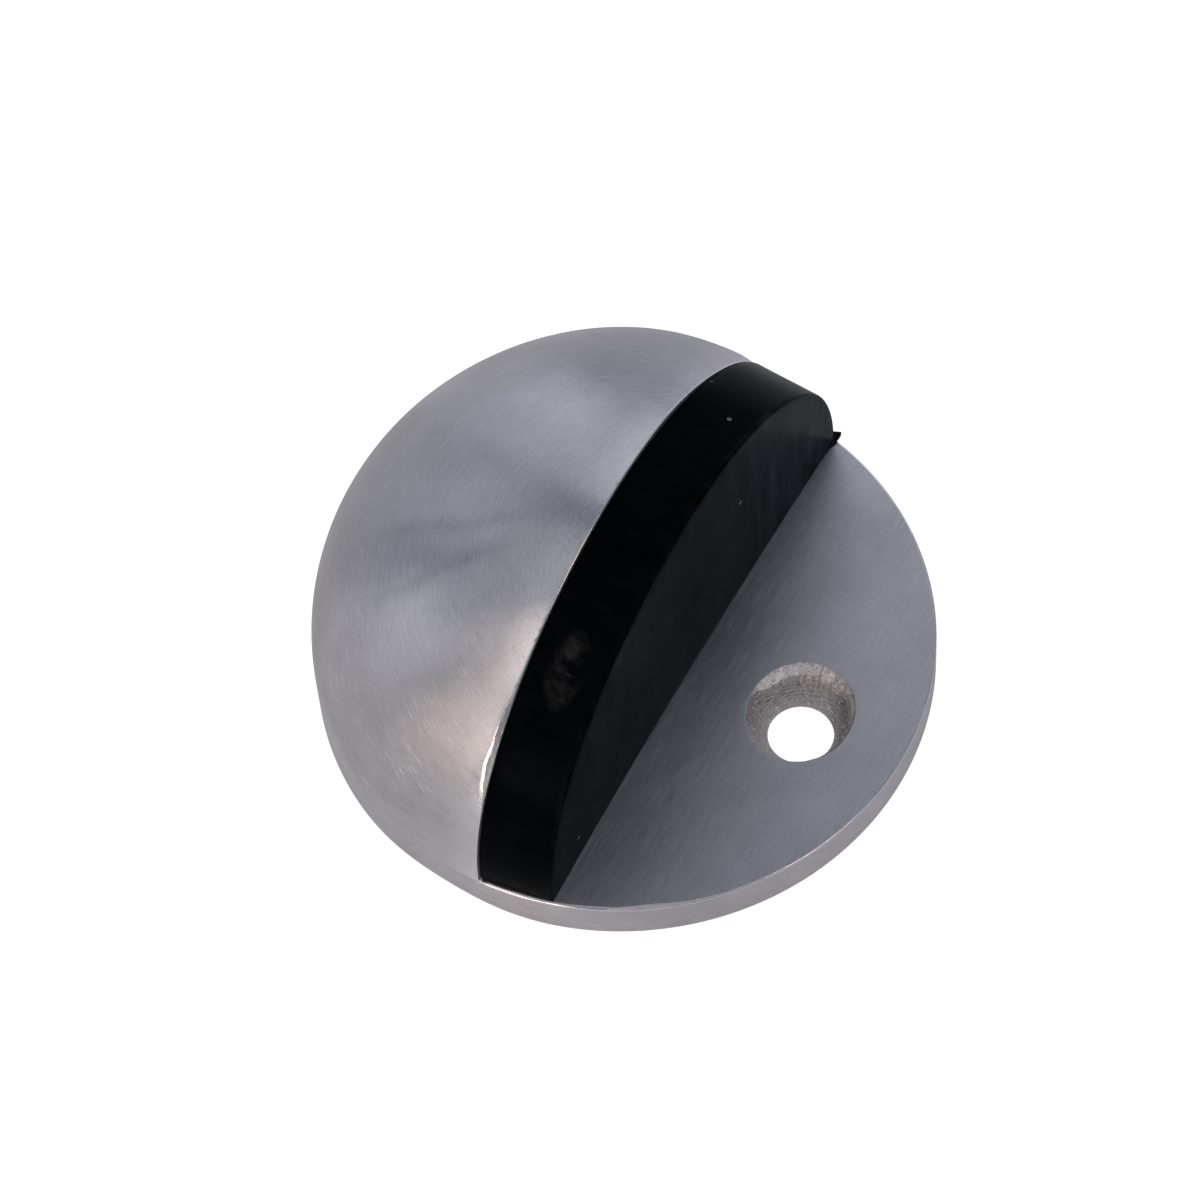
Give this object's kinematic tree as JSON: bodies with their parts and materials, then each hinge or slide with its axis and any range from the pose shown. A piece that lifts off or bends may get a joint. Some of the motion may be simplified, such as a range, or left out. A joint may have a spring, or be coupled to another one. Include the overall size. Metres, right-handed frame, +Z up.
{
  "type": "door stop",
  "caption": "Half-moon floor door stop: a brushed steel half dome and fixing plate with a black rubber buffer that meets the door.",
  "frame": {"origin": "centre of the round foot, on the floor plane", "axes": "+Z up from the floor, +X out of the buffer's front face towards the door, symmetrical about the XZ plane"},
  "size_m": [0.045, 0.045, 0.029],
  "materials": {
    "cast_steel": "satin brushed stainless steel casting",
    "black_rubber": "smooth moulded black rubber",
    "pin_steel": "plain ground steel dowel"
  },
  "bodies": {
    "root": {"body": "cast_steel", "rubber_buffer": "black_rubber", "locating_pin": "pin_steel"}
  },
  "joints": []
}
